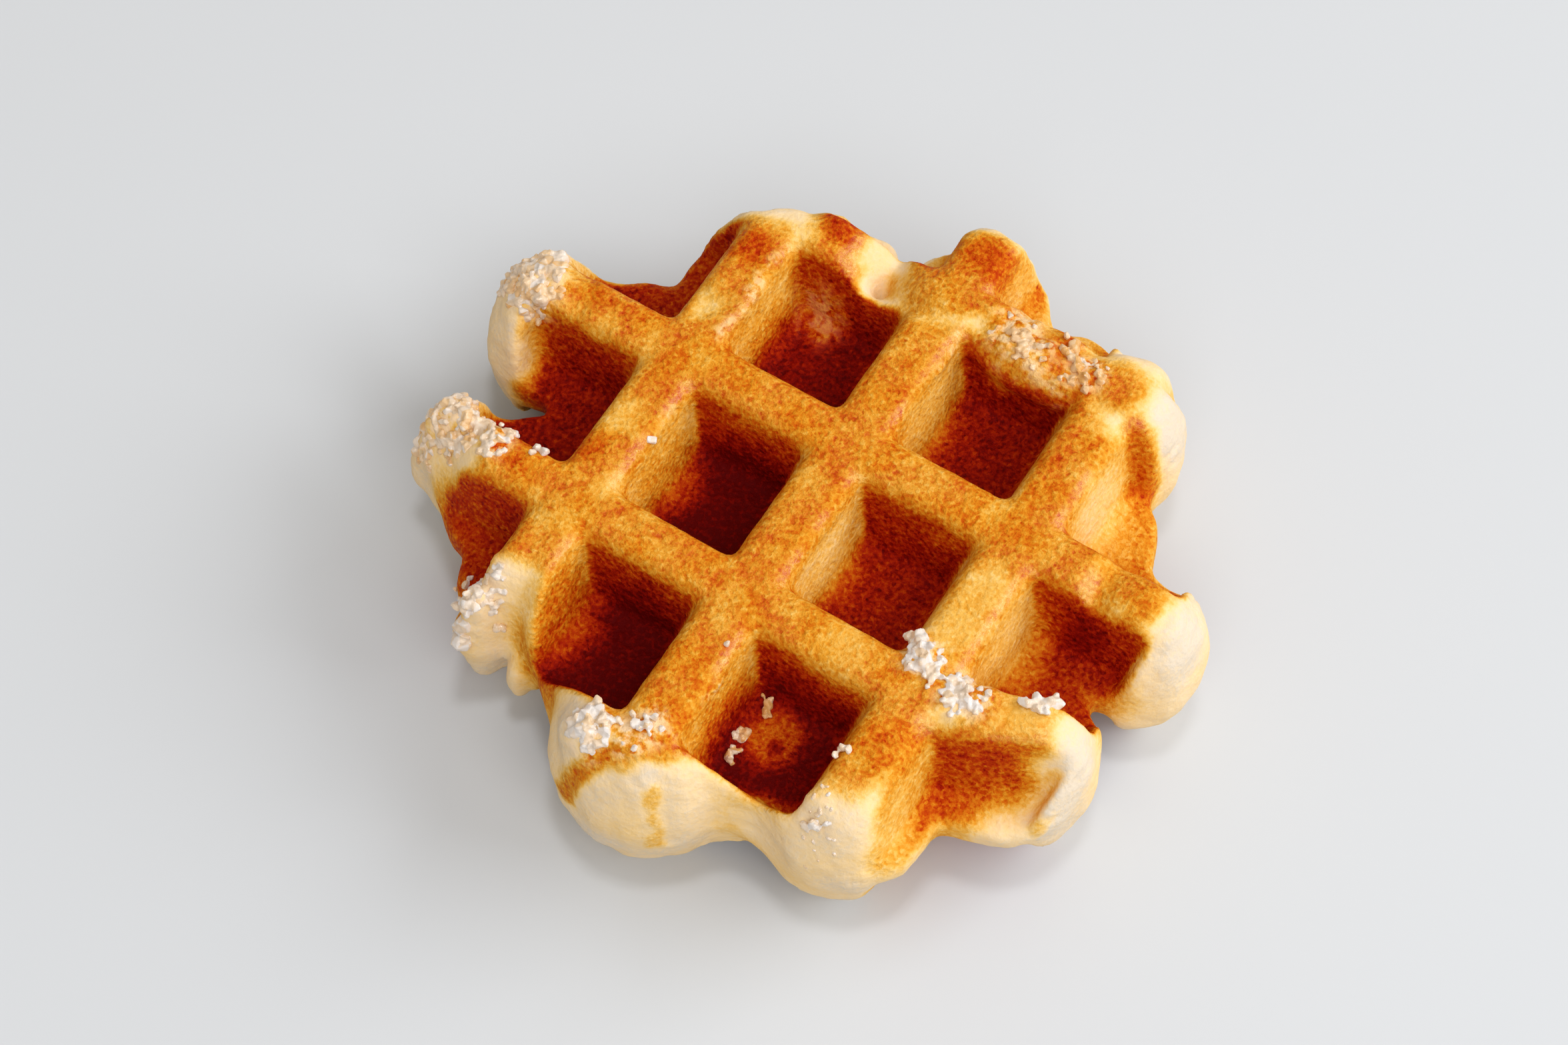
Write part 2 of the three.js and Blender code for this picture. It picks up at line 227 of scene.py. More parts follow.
def moved(p, strength, size, seed):
    """Points moved about by noise, which gives what is measured from them an uneven edge."""
    return p + np.stack([noise_at(p, strength, size, seed + 7 * n) for n in range(3)], -1)


def to_frame(p):
    """Points on the grid's axes in millimetres, in the part's frame in metres."""
    return (np.asarray(p) + GRID_ORIGIN) * MM


def random_from(seed):
    """The same draws as the CAD part's, so that the large grains lie where its grains are."""
    state = seed

    def draw():
        nonlocal state
        state = (state + 0x6D2B79F5) & 0xFFFFFFFF
        t = ((state ^ (state >> 15)) * (state | 1)) & 0xFFFFFFFF
        t ^= (t + (((t ^ (t >> 7)) * (t | 61)) & 0xFFFFFFFF)) & 0xFFFFFFFF
        return (t ^ (t >> 14)) / 4294967296

    return draw


def mesh_object(name, points, faces, smooth):
    """A new piece of these points and faces."""
    mesh = bpy.data.meshes.new(name)
    mesh.from_pydata(points.tolist(), [], faces.tolist())
    mesh.polygons.foreach_set("use_smooth", [smooth] * len(mesh.polygons))
    mesh.update()
    piece = bpy.data.objects.new(name, mesh)
    bpy.context.scene.collection.objects.link(piece)
    return piece


def keep_on_points(piece, name, values):
    """A number at each point, for the material to read."""
    made = piece.data.attributes.new(name, "FLOAT", "POINT")
    made.data.foreach_set("value", np.asarray(values, np.float32))


# ---------------------------------------------------------------- the dough as one function


def ripple(x, y, z):
    """The rim's waves, from -1 to 1."""
    turn = 2 * np.pi
    fine = np.sin(turn * x / FINE_WAVES[0]) * np.sin(turn * y / FINE_WAVES[1])
    broad = np.sin(turn * (x / BROAD_WAVES[0] + y / BROAD_WAVES[1] + z / BROAD_WAVES[2]))
    return (fine + broad) / 2


def outline(x, y):
    """Distance to the rim at half height, less than 0 inside."""
    f = np.hypot(x - CORE[0], y - CORE[1]) - CORE[2]
    for cx, cy, r, _ in LOBES:
        f = smooth_min(f, np.hypot(x - cx, y - cy) - r, LOBE_BLEND)
    return f


def edge_at(x, y, f):
    """How far in the dough starts to round off, from the discs nearby."""
    total = 0
    weight = 0
    for cx, cy, r, edge in (CORE, *LOBES):
        away = np.clip(np.hypot(x - cx, y - cy) - r - f, 0, EDGE_FAR)
        w = np.exp(-away / EDGE_REACH)
        total = total + w * edge
        weight = weight + w
    return total / weight


def rim(x, y, z):
    """The free surface of the dough between the plates, round like a squeezed drop."""
    f = outline(x, y) + RIPPLE * ripple(x, y, z)
    up = np.abs(z - MID) / RIM_HALF
    return f + edge_at(x, y, f) * (1 - np.sqrt(np.maximum(1 - up * up, 0)))


def bend(x, y):
    """How far B1's stub is pulled aside."""
    away = (y - BEND_Y) / BEND_REACH
    return BEND_SLOPE * np.maximum(x - BEND_FROM_X, 0) * np.exp(-away * away)


def sag(x, y):
    """How far a ridge top lies below the iron."""
    return sum(d * np.exp(-((x - cx) ** 2 + (y - cy) ** 2) / (r * r)) for cx, cy, r, d in SAGS)


def across(v):
    """Distance to the middle line of the nearest ridge."""
    return np.abs(v - PITCH * np.round(v / PITCH))


def plates(x, y, z):
    """The room between the two plates: a slab with a pocket pressed into every square."""
    slope = DRAFT / POCKET_DEPTH
    lean = 1 / math.hypot(1, slope)
    height = np.abs(z - MID)
    deep = height - WEB / 2
    floor_a = (PITCH - RIDGE_A) / 2 - DRAFT
    floor_b = (PITCH - RIDGE_B) / 2 - DRAFT
    wall_a = (PITCH / 2 - across(x) - floor_a - deep * slope) * lean
    wall_b = (PITCH / 2 - across(y - bend(x, y) - PITCH / 2) - floor_b - deep * slope) * lean
    pocket = smooth_max(smooth_max(wall_a, wall_b, CORNER), -deep, FOOT)
    top = THICK / 2 - np.where(z > MID, sag(x, y), 0)
    return smooth_max(height - top, -pocket, SHOULDER)


def lumps(x, y, z):
    """Distance to the thicker places, less than 0 inside."""
    g = None
    for cx, cy, cz, rx, ry, rz in LUMPS:
        away = np.sqrt(((x - cx) / rx) ** 2 + ((y - cy) / ry) ** 2 + ((z - cz) / rz) ** 2)
        v = (away - 1) * min(rx, ry, rz)
        g = v if g is None else smooth_min(g, v, LUMP_BLEND)
    return g


def dough(x, y, z):
    """Less than 0 inside the waffle."""
    body = smooth_max(plates(x, y, z), rim(x, y, z), RIM_BLEND)
    return smooth_min(body, lumps(x, y, z), LUMP_BLEND)


def slope_of(field, p, e=0.05):
    """The field's gradient at points p."""
    return np.stack([(field(*(p + s).T) - field(*(p - s).T)) / (2 * e) for s in np.eye(3) * e], -1)


def settled(field, p):
    """Points p drawn onto the surface."""
    for _ in range(SETTLE_ROUNDS):
        g = slope_of(field, p)
        step = field(*p.T) / np.maximum((g * g).sum(-1), LEAST_SLOPE)
        p = p - g * np.clip(step, -SETTLE_STEP, SETTLE_STEP)[:, None]
    return p


def surface_net(field, axes):
    """A closed mesh where field is 0: a point in every cell that the surface crosses, and a
    quad round every crossed grid edge."""
    grid = np.stack(np.meshgrid(*axes, indexing="ij"), -1)
    value = field(grid[..., 0], grid[..., 1], grid[..., 2])
    inside = value < 0
    cells = tuple(n - 1 for n in value.shape)
    total = np.zeros((*cells, 3))
    count = np.zeros(cells)
    crossings = []
    for axis in range(3):
        first = tuple(slice(0, -1) if a == axis else slice(None) for a in range(3))
        last = tuple(slice(1, None) if a == axis else slice(None) for a in range(3))
        crossed = inside[first] != inside[last]
        share = np.where(crossed, value[first] / np.where(crossed, value[first] - value[last], 1), 0)
        point = grid[first] + (grid[last] - grid[first]) * share[..., None]
        u, v = (axis + 1) % 3, (axis + 2) % 3
        for du, dv in np.ndindex(2, 2):
            part = [slice(None)] * 3
            part[u] = slice(du, cells[u] + du)
            part[v] = slice(dv, cells[v] + dv)
            part = tuple(part)
            total += np.where(crossed[part][..., None], point[part], 0)
            count += crossed[part]
        crossings.append((u, v, np.argwhere(crossed), inside[first]))
    used = count > 0
    number = np.full(cells, -1)
    number[used] = np.arange(used.sum())
    quads = []
    for u, v, start, filled in crossings:
        corners = []
        for du, dv in ((0, 0), (1, 0), (1, 1), (0, 1)):
            cell = start.copy()
            cell[:, u] -= du
            cell[:, v] -= dv
            corners.append(number[tuple(cell.T)])
        quad = np.stack(corners, -1)
        turned = ~filled[tuple(start.T)]
        quad[turned] = quad[turned][:, ::-1]
        quads.append(quad)
    return total[used] / count[used][:, None], np.concatenate(quads)


# ---------------------------------------------------------------- how the crust is baked, with painted light and shade in the pockets

# Tone is how dark the crust is coloured: how it is baked, with painted light and shade in the
# pockets as well. 0 the palest dough of the free rim, 0.3 yellow, 0.5 the gold of the ridges, 0.7
# orange-brown, 1 the darkest pocket floor. Each list gives it down a wall, as share of the pocket's
# depth and tone. The first, for walls that face along X, is paler partly from baking and partly
# as painted light; the second, for walls that face along Y, is darker partly from baking and partly
# as painted shade. Both darken at the foot of the wall, partly as painted shade.
WALL_A_BAKE_AND_LIGHT = ((0, 0.51), (0.12, 0.44), (0.35, 0.33), (0.7, 0.35), (0.88, 0.55), (1, 0.86))
WALL_B_BAKE_AND_SHADE = ((0, 0.51), (0.09, 0.5), (0.2, 0.71), (0.45, 0.8), (1, 0.92))
BAKED = (-0.8, 1.2)  # from past the edge that the iron pressed, to where the browning is whole
LEAST_SIDE = 0.001  # what faces straight up gets half of each wall's tone

# Noises that vary the crust: their strength, the size of their features and their seed.
SPOTS = (0.07, 5, 3)
FINE_SPOTS = (0.04, 1.8, 9)
RAW_SPOTS = (0.07, 6, 17)
PATCHES = (1, 3.5, 97)
UNEVEN_WALLS = (0.6, 1.3, 5)
UNEVEN_RIM = (0.6, 2.6, 21)
UNEVEN_PLACES = (0.8, 2.4, 31)
UNEVEN_MELTS = (0.7, 2, 61)
GLOSS_PATCHES = (1, 4, 73)

# Paler patches of golden crust: the range of the noise that makes them, the tones over which
# they fade out towards the darker crust, and how much paler they are.
PATCH_EDGE = (0.1, 0.4)
PATCH_TONES = (0.5, 0.65)
PATCH_PALER = 0.1

# Melted sugar reaches a little past its crystals, and fades out down the walls.
MELT_MARGIN = 0.6
MELT_DEPTHS = (3, 6)

# Caramel: how far the crust faces along X and up where the shoulders have it, how far up where
# the ridge tops have a little, the tones between which it shows, how deep it reaches, and the
# range of the noise that makes it patchy.
SHOULDER_ALONG = (0.2, 0.4)
SHOULDER_UP = (0.45, 0.7)
TOP_UP = (0.6, 0.9)
TOP_GLOSS = 0.2
GLOSS_FROM = (0.2, 0.35)
GLOSS_TO = (0.5, 0.6)
GLOSS_DEPTHS = (2, 4)
GLOSS_EDGE = (-0.3, 0.2)

# Relief: the tones between raw dough and crust, the crumb of each, and the raw dough's folds,
# which run level and show in patches.
RAW_TONES = (0.05, 0.3)
RAW_CRUMB = (0.2, 3.2, 41)
RAW_FINE_CRUMB = (0.15, 1.5, 47)
BAKED_CRUMB = (0.07, 2.2, 53)
BAKED_FINE_CRUMB = (0.05, 1.1, 59)
FOLDS = (1, 3.4, 83)
FOLD_STRETCH = (0.4, 0.4, 1.4)
FOLD_WIDTH = 0.07
FOLD_DEPTH = 0.22
FOLD_PATCHES = (1, 7, 89)
FOLD_EDGE = (0, 0.2)

# Melted sugar stands out in packed bumps, on a wavy skin.
FILM_SHOWS = 0.02
BUMP_SIZE = 2
BUMP_HEIGHT = 0.8
SKIN = (0.5, 3, 67)
SKIN_LOW = 0.2

# Places that are baked less or more than the rest: x, y, z, radius, tone, and how far they
# go to that tone.
WHITE, CREAM, YELLOW, GOLD, TAN, BROWN, RED, DARK = 0, 0.06, 0.27, 0.45, 0.54, 0.62, 0.72, 0.97
PLACES = (
    # floors of the pockets and the open cells at the rim: baking with painted shade, less in open
    # cells
    (-11.5, 0, 15, 8, 1.06, 0.95),
    (11.5, 0, 15, 8, 0.83, 0.8),
    (-11.5, -23, 15, 9, 1.05, 0.95),
    (11.5, -23, 15, 9, 1, 0.95),
    (11.5, 23, 15, 8, 0.87, 0.8),
    (-11.5, 23, 15, 8, 0.94, 0.85),
    (34, 1, 15, 8, 0.76, 0.9),
    (33, 7.5, 19, 5, 0.94, 0.9),
    (-39.5, 6, 19, 3.4, 0.8, 0.85),
    (-38.5, 1.5, 16, 3.2, 0.85, 0.85),
    (33, -15, 15, 7, 0.65, 0.9),
    (26.6, -20.5, 17, 3.2, 0.36, 0.9),
    (28, -25.5, 16, 4.5, YELLOW, 0.9),
    (34, -22.5, 15, 3.2, YELLOW, 0.9),
    (37.5, -16, 17, 3, YELLOW, 0.9),
    (-34, -20, 15, 8, 0.74, 0.9),
    (-33, 0, 15, 8, 0.88, 0.9),
    (32, 23, 15, 8, 0.44, 0.9),
    (-32, 25, 15, 8, RED, 0.8),
    (-11.5, 42, 16, 6, CREAM, 1),
    (11.5, 43, 16, 6, YELLOW, 1),
    # lit walls of A1, A2 and A3, darkest on A1; their pale tones are partly painted light
    (-19, 0, 19, 6, 0.41, 0.8),
    (-19, -22, 18, 6, 0.57, 0.8),
    (4, 0, 19, 5, 0.2, 0.75),
    (4, 22, 19, 5, YELLOW, 0.7),
    (27, 2, 19, 6, 0.24, 0.8),
    (27, 22, 19, 6, 0.13, 0.8),
    # dough of the rim that the iron did not press, and the crust beside it
    (-22.5, 37, 24, 5.5, CREAM, 1),
    (-11.5, 36.6, 23.4, 3.2, 0.1, 1),
    (-19.7, 33, 25, 1.8, 0.15, 0.9),
    (-7.4, 34.3, 21, 2.2, 0.35, 0.95),
    (-3, 33.4, 24.4, 3.6, GOLD, 0.95),
    (25, -17, 24.8, 3.6, TAN, 0.95),
    (8, 43, 22, 4.5, YELLOW, 0.8),
    # the rim at the right side is made whiter than the cream elsewhere
    (31, 35, 22, 6, WHITE, 1),
    (46.5, 11, 22, 5, WHITE, 1),
    (42.5, -10, 20.5, 5.2, WHITE, 1),
    (42.5, -14, 15, 4.5, WHITE, 1),
    (38.5, -19, 12.5, 5, CREAM, 1),
    (23, -32, 24, 6.2, CREAM, 0.95),
    (-23, -30, 22, 5.5, CREAM, 1),
    (-41, -9.5, 24, 5, 0.25, 0.9),
    (-44, 11, 25, 4.5, 0.25, 0.9),
    (-46, 11.5, 20, 6.5, CREAM, 1),
    (-43.5, 3, 18, 4.6, CREAM, 1),
    (15, -33.5, 15, 5, CREAM, 1),
    (10, -37, 20, 7, CREAM, 1),
    # paler and darker places along the ridges
    (-24.5, 0.5, 25, 3, YELLOW, 0.8),
    (-22, -17, 25, 2.5, GOLD, 0.6),
    (23, 3.5, 25, 3.6, YELLOW, 0.9),
    (22.5, -3, 25, 3.8, YELLOW, 0.9),
    # a painted highlight: a yellow spot on B1 where the light glints
    (-20, -8.2, 25, 2.4, YELLOW, 0.8),
    (-33, 9.5, 25, 2.2, YELLOW, 0.7),
    (1, 28, 25, 3.2, GOLD, 0.7),
    (-23.6, 28, 25, 2.6, RED, 0.9),
    (1, 41.5, 24, 3.6, 0.66, 0.95),
    (-16.7, 36.7, 25, 3.4, RED, 0.95),
    (-17.5, 30.5, 21, 3, RED, 0.8),
    (6, 30.2, 21, 2.2, 0.86, 0.8),
    (14, 29.6, 22.5, 2.2, 0.86, 0.8),
    (9.5, 29.7, 21, 2, GOLD, 0.8),
    (-36.5, 12, 24, 3.2, BROWN, 0.8),
    (-32.5, -11, 24, 2.8, RED, 0.9),
    (-25, -5, 25, 2.6, BROWN, 0.8),
    (-24, -19.5, 25, 3, BROWN, 0.4),
    (1, -30, 25, 3.2, BROWN, 0.6),
    (23, -20.5, 25, 2.6, BROWN, 0.6),
    (35, 12, 25, 4, 0.47, 0.9),
    (34.5, -7.5, 24, 3.5, YELLOW, 0.9),
    (38.5, 12.5, 25, 3, TAN, 0.8),
    (20.5, 22, 25, 2.5, BROWN, 0.5),
    (9.5, 13, 25, 3.5, 0.4, 0.8),
    (-12, 11.7, 25, 5, 0.52, 0.7),
    (13.5, -12, 25, 4, 0.32, 0.8),
    (8, 35.5, 25, 3.6, TAN, 0.95),
    (14, 34.5, 25, 4, BROWN, 0.95),
    (18.5, 33.5, 25, 3.5, BROWN, 0.9),
    # amber of melted sugar in two pockets
    (9.9, -21.4, 15, 3.7, 0.61, 0.95),
    (11.3, -21.9, 15, 1, DARK, 0.9),
    (-14.6, 29.6, 18, 3.5, 0.64, 0.9),
)

# Streaks, from one point to another: x, y, z twice, radius, tone, how far they go to that tone,
# and how thick melted sugar lies on them.
STREAKS = (
    (3.2, -32.2, 24.9, -2.9, -36.4, 24, 1.8, 0.53, 0.95, 0),  # the browner edge of A2's lower end
    (-2.9, -36.4, 24, -6.5, -39.4, 14.3, 1.6, 0.53, 0.95, 0),
    (4.2, -36.5, 21.5, 5.2, -38.4, 12.5, 0.9, 0.28, 0.9, 0),  # the yellow fold beside it
    (27.3, 31.2, 23.4, 31, 29, 15.3, 2, 0.6, 0.9, 0),  # the wall beyond A3
    # the four glaze streaks on the right shoulders of A1 and A2 are melted sugar and partly a
    # painted highlight
    (-20.4, 15.4, 25.2, -20.4, 28, 25.2, 0.9, GOLD, 0, 0.75),  # glaze along the ridges
    (3.6, -24.6, 24, 3.1, -20.5, 24.8, 0.8, GOLD, 0, 0.7),
    (3.5, 25.7, 24.1, 2.9, 32.4, 24.8, 0.8, GOLD, 0, 0.65),
    (-19.7, 0.8, 24.6, -19.9, 4.7, 24.9, 0.7, GOLD, 0, 0.5),
    (9, 31, 25, 16, 31.2, 25, 1.8, 0.44, 0.8, 0.6),  # amber along the edge of B3
    (-15.6, 29.6, 17.8, -14.2, 28.8, 15.8, 3.2, 0.66, 0.8, 0.4),  # and on a pocket's wall
    (40.6, -9.8, 19.5, 41.2, -14.8, 15.2, 1.3, YELLOW, 0.9, 0),  # where B1's raw end begins
)


def from_line(p, ends):
    """Distance of points p to a stretch of line."""
    start, along = np.array(ends[:3]), np.subtract(ends[3:], ends[:3])
    t = np.clip((p - start) @ along / (along @ along), 0, 1)
    return np.linalg.norm(p - start - t[:, None] * along, axis=1)


def side_share(normals):
    """1 on what faces along X, the walls of the A ridges, and 0 on what faces along Y: it weighs the
    A walls' tone, partly painted light, against the B walls', partly painted shade.
    """
    x4 = normals[:, 0] ** 4 + LEAST_SIDE
    y4 = normals[:, 1] ** 4 + LEAST_SIDE
    return x4 / (x4 + y4)


def depth_of(p):
    """How far below the upper ridge tops a point lies, or above the lower ones."""
    return THICK / 2 - np.abs(p[:, 2] - MID)


def tone_of(p, normals):
    """How dark the crust is coloured, from 0 to 1: how it is baked, with painted light and shade in
    the pockets.
    """
    share = np.clip((depth_of(p) + noise_at(p, *UNEVEN_WALLS)) / POCKET_DEPTH, 0, 1)
    a = side_share(normals)
    # walls along X take the paler tones, partly painted light, and walls along Y the darker ones,
    # partly painted shade
    tone = a * np.interp(share, *zip(*WALL_A_BAKE_AND_LIGHT)) + (1 - a) * np.interp(share, *zip(*WALL_B_BAKE_AND_SHADE))
    tone = tone + noise_at(p, *SPOTS) + noise_at(p, *FINE_SPOTS)
    golden = 1 - smooth_step(*PATCH_TONES, tone)
    tone = tone - PATCH_PALER * smooth_step(*PATCH_EDGE, noise_at(p, *PATCHES)) * golden
    inwards = plates(*p.T) - rim(*p.T) + noise_at(p, *UNEVEN_RIM)
    pale = CREAM + noise_at(p, *RAW_SPOTS)
    tone = pale + (tone - pale) * smooth_step(*BAKED, inwards)
    uneven = moved(p, *UNEVEN_PLACES)
    for x, y, z, radius, goal, strength in PLACES:
        away = ((uneven - (x, y, z)) ** 2).sum(-1) / (radius * radius)
        near = strength * np.exp(-away * away)
        tone = tone + (goal - tone) * near
    for *ends, radius, goal, strength, _ in STREAKS:
        away = from_line(uneven, ends) / radius
        near = strength * np.exp(-(away ** 4))
        tone = tone + (goal - tone) * near
    return np.clip(tone, 0, 1)


def film_and_highlight_of(p):
    """Melted sugar, from 0 to 1, with the glaze streaks on the ridges' shoulders, partly a painted
    highlight.
    """
    film_and_highlight = np.zeros(len(p))
    uneven = moved(p, *UNEVEN_MELTS)
    for x, y, radius, _, _, thickness in MELTS:
        away = np.linalg.norm(uneven[:, :2] - (x, y), axis=1) / (radius + MELT_MARGIN)
        film_and_highlight = np.maximum(film_and_highlight, thickness * np.exp(-(away ** 4)))
    film_and_highlight = film_and_highlight * (1 - smooth_step(*MELT_DEPTHS, depth_of(p))) * (p[:, 2] > MID)
    for *ends, radius, _, _, thickness in STREAKS:
        away = from_line(uneven, ends) / radius
        film_and_highlight = np.maximum(film_and_highlight, thickness * np.exp(-(away ** 2)))
    return film_and_highlight


def gloss_of(p, normals, tone):
    """Caramel on the ridges, from 0 to 1, most on the right shoulders of the A ridges."""
    along, _, up = normals.T
    shoulder = smooth_step(*SHOULDER_ALONG, along) * smooth_step(*SHOULDER_UP, up)
    top = TOP_GLOSS * smooth_step(*TOP_UP, up)
    golden = smooth_step(*GLOSS_FROM, tone) * (1 - smooth_step(*GLOSS_TO, tone))
    high = 1 - smooth_step(*GLOSS_DEPTHS, depth_of(p))
    patchy = smooth_step(*GLOSS_EDGE, noise_at(p, *GLOSS_PATCHES))
    return np.maximum(shoulder, top) * golden * high * patchy


def grains_at(p, size):
    """Rounded bumps of that size, packed against each other, from 0 between them to 1."""
    return np.array([1 - min(noise.voronoi(Vector(q))[0][0], 1) for q in p / size])


def relief_of(p, tone, film_and_highlight):
    """How far the crust stands out from the smooth form."""
    raw = 1 - smooth_step(*RAW_TONES, tone)
    crumb = noise_at(p, *RAW_CRUMB) + noise_at(p, *RAW_FINE_CRUMB)
    fold = np.exp(-((noise_at(p * FOLD_STRETCH, *FOLDS) / FOLD_WIDTH) ** 2))
    crumb = crumb - FOLD_DEPTH * fold * smooth_step(*FOLD_EDGE, noise_at(p, *FOLD_PATCHES))
    baked = noise_at(p, *BAKED_CRUMB) + noise_at(p, *BAKED_FINE_CRUMB)
    out = raw * crumb + (1 - raw) * baked
    melted = film_and_highlight > FILM_SHOWS
    bumps = BUMP_HEIGHT * grains_at(p[melted], BUMP_SIZE)
    out[melted] += film_and_highlight[melted] * (bumps + np.abs(noise_at(p[melted], *SKIN)) - SKIN_LOW)
    return out


def make_crust():
    """The crust as a piece, with its points and faces in millimetres for the sugar to lie on."""
    axes = [np.arange(low, high, GRID_STEP) for low, high in zip(GRID_LOW, GRID_HIGH)]
    p, quads = surface_net(dough, axes)
    p = settled(dough, p)
    normals = slope_of(dough, p)
    normals /= np.linalg.norm(normals, axis=1)[:, None]
    tone = tone_of(p, normals)
    film_and_highlight = film_and_highlight_of(p)
    free = smooth_step(SNAP, 3 * SNAP, p[:, 2])
    p = p + normals * (relief_of(p, tone, film_and_highlight) * free)[:, None]
    p[p[:, 2] < SNAP, 2] = 0
    piece = mesh_object("crust", to_frame(p), quads, True)
    keep_on_points(piece, "tone", tone)
    keep_on_points(piece, "film_and_highlight", film_and_highlight)
    keep_on_points(piece, "gloss", gloss_of(p, normals, tone))
    return piece, p, quads


# ---------------------------------------------------------------- pearl sugar


def hull_faces(points):
    """The triangles of the convex hull of a few points."""
    faces = []
    n = len(points)
    for i in range(n):
        for j in range(i + 1, n):
            for k in range(j + 1, n):
                normal = np.cross(points[j] - points[i], points[k] - points[i])
                side = (points - points[i]) @ normal
                if (side < TINY).all():
                    faces.append((i, j, k))
                elif (side > -TINY).all():
                    faces.append((i, k, j))
    return faces


def crystal_shapes(random):
    """Uneven blocky crystals about 1 across, as points and faces."""
    made = []
    for _ in range(CRYSTAL_KINDS):
        points = np.array([[random() - 0.5 for _ in range(3)] for _ in range(CRYSTAL_POINTS)])
        reach = (np.abs(points) ** CRYSTAL_POWER).sum(1) ** (1 / CRYSTAL_POWER)
        points /= reach[:, None] * 2
        points *= CRYSTAL_STRETCH
        made.append((points, hull_faces(points)))
    return made


def any_turn(random):
    """A random way round, as a matrix."""
    return np.array(Euler([random() * 2 * math.pi for _ in range(3)]).to_matrix())


def grain_places(random):
    """Where the CAD part's grains lie, by the same draws: x, y and size."""
    for x0, y0, x1, y1, width, count, size in SUGAR:
        along = np.array((x1 - x0, y1 - y0))
        side = np.array((-along[1], along[0])) / max(np.linalg.norm(along), TINY)
        for n in range(count):
            t = (n + random()) / count
            off = (random() - 0.5) * width
            grain_size = size * (1 + GRAIN_SPREAD * (2 * random() - 1))
            for _ in range(BLOCK_DRAWS):
                random()
            yield np.array((x0, y0)) + along * t + side * off, grain_size


def crumb_places(random):
    """Where the finer crystals lie: x, y and size."""
    least, more = CRYSTAL_SIZES
    for x, y, radius, count, size, _ in MELTS:
        for _ in range(count):
            away = radius * math.sqrt(random())
            angle = random() * 2 * math.pi
            here = np.array((x + away * math.cos(angle), y + away * math.sin(angle)))
            yield here, size * (least + more * random())


# Where the sugar has melted brown: at the left ends, where it is less, at the upper end, and on
# the pocket floors.
AMBER_LEFT = 0.6
AMBER_LEFT_X = (30, 38)
AMBER_UPPER_Y = (27, 31)
AMBER_FLOOR_Z = (16, 19)
AMBER_FLOOR_X = (-20, -15)


def amber_at(p):
    """How brown the sugar has melted, from 0 to 1."""
    x, y, z = p.T
    left = AMBER_LEFT * smooth_step(*AMBER_LEFT_X, -x)
    upper = smooth_step(*AMBER_UPPER_Y, y)
    floor = (1 - smooth_step(*AMBER_FLOOR_Z, z)) * smooth_step(*AMBER_FLOOR_X, x)
    return np.maximum(np.maximum(left, upper), floor)


def melt_together(piece):
    """The crystals grown into one skin where they touch."""
    remesh = piece.modifiers.new("melted", "REMESH")
    remesh.mode = "VOXEL"
    remesh.voxel_size = MELT_STEP * MM
    seen = piece.evaluated_get(bpy.context.evaluated_depsgraph_get())
    skin = bpy.data.meshes.new_from_object(seen)
    piece.modifiers.clear()
    piece.data = skin
    skin.polygons.foreach_set("use_smooth", [False] * len(skin.polygons))
    points = np.empty(3 * len(skin.vertices))
    skin.vertices.foreach_get("co", points)
    keep_on_points(piece, "amber", amber_at(points.reshape(-1, 3) / MM - GRID_ORIGIN))


def make_sugar(points, quads):
    """The pearl sugar as a piece, on a crust of these points and faces."""
    crust_tree = BVHTree.FromPolygons(points.tolist(), quads.tolist())
    random = random_from(CRYSTAL_SEED)
    shapes = crystal_shapes(random)
    all_points, all_faces = [], []

    def add(centre, size):
        """One crystal."""
        shape, faces = shapes[int(random() * len(shapes))]
        start = sum(map(len, all_points))
        all_points.append(shape @ any_turn(random).T * size + centre)
        all_faces.extend(tuple(start + i for i in f) for f in faces)

    def foot_of(here):
        """The point of the crust under x, y, and the way out of the crust there."""
        above = Vector((here[0], here[1], HIGH_UP))
        foot, out, _, _ = crust_tree.ray_cast(above, Vector((0, 0, -1)))
        return foot, out

    def add_lump(foot, out, size):
        """A large grain, with smaller ones grown round it along the surface."""
        centre = np.array(foot + out * size * (0.5 - GRAIN_SINK))
        least, more = LUMP_SIZES
        add(centre, size * LUMP_MIDDLE)
        for _ in range(LUMP_CRYSTALS):
            stray = np.array([random() - 0.5 for _ in range(3)]) * size * LUMP_SPREAD
            stray -= LUMP_FLATTENED * np.array(out) * (stray @ np.array(out))
            add(centre + stray, size * (least + more * random()))

    for here, size in grain_places(random_from(SUGAR_SEED)):
        add_lump(*foot_of(here), size)
    for here, size in crumb_places(random):
        foot, out = foot_of(here)
        if foot is not None:
            add(np.array(foot - out * size * CRYSTAL_SINK), size)
    piece = mesh_object("sugar", to_frame(np.concatenate(all_points)), np.array(all_faces), False)
    melt_together(piece)
    return piece


# ---------------------------------------------------------------- materials


def put(tree, kind, inputs=None, **settings):
    """A node with its settings, each input set to a value or linked to another node's socket."""
    made = tree.nodes.new("ShaderNode" + kind)
    for name, value in settings.items():
        setattr(made, name, value)
    for name, value in (inputs or {}).items():
        if isinstance(value, bpy.types.NodeSocket):
            tree.links.new(value, made.inputs[name])
        else:
            made.inputs[name].default_value = value
    return made


def maths(tree, operation, a, b, clamp=False):
    return put(tree, "Math", {0: a, 1: b}, operation=operation, use_clamp=clamp).outputs[0]


def times(tree, a, b):
    return maths(tree, "MULTIPLY", a, b)


def plus(tree, a, b, share):
    """a, and that share of b."""
    return maths(tree, "ADD", a, times(tree, b, share))


def spread(tree, value, low, high, to_low=0.0, to_high=1.0):
    """A value from low to high, laid out from to_low to to_high and kept between them."""
    inputs = {"Value": value, "From Min": low, "From Max": high, "To Min": to_low, "To Max": to_high}
    return put(tree, "MapRange", inputs).outputs[0]


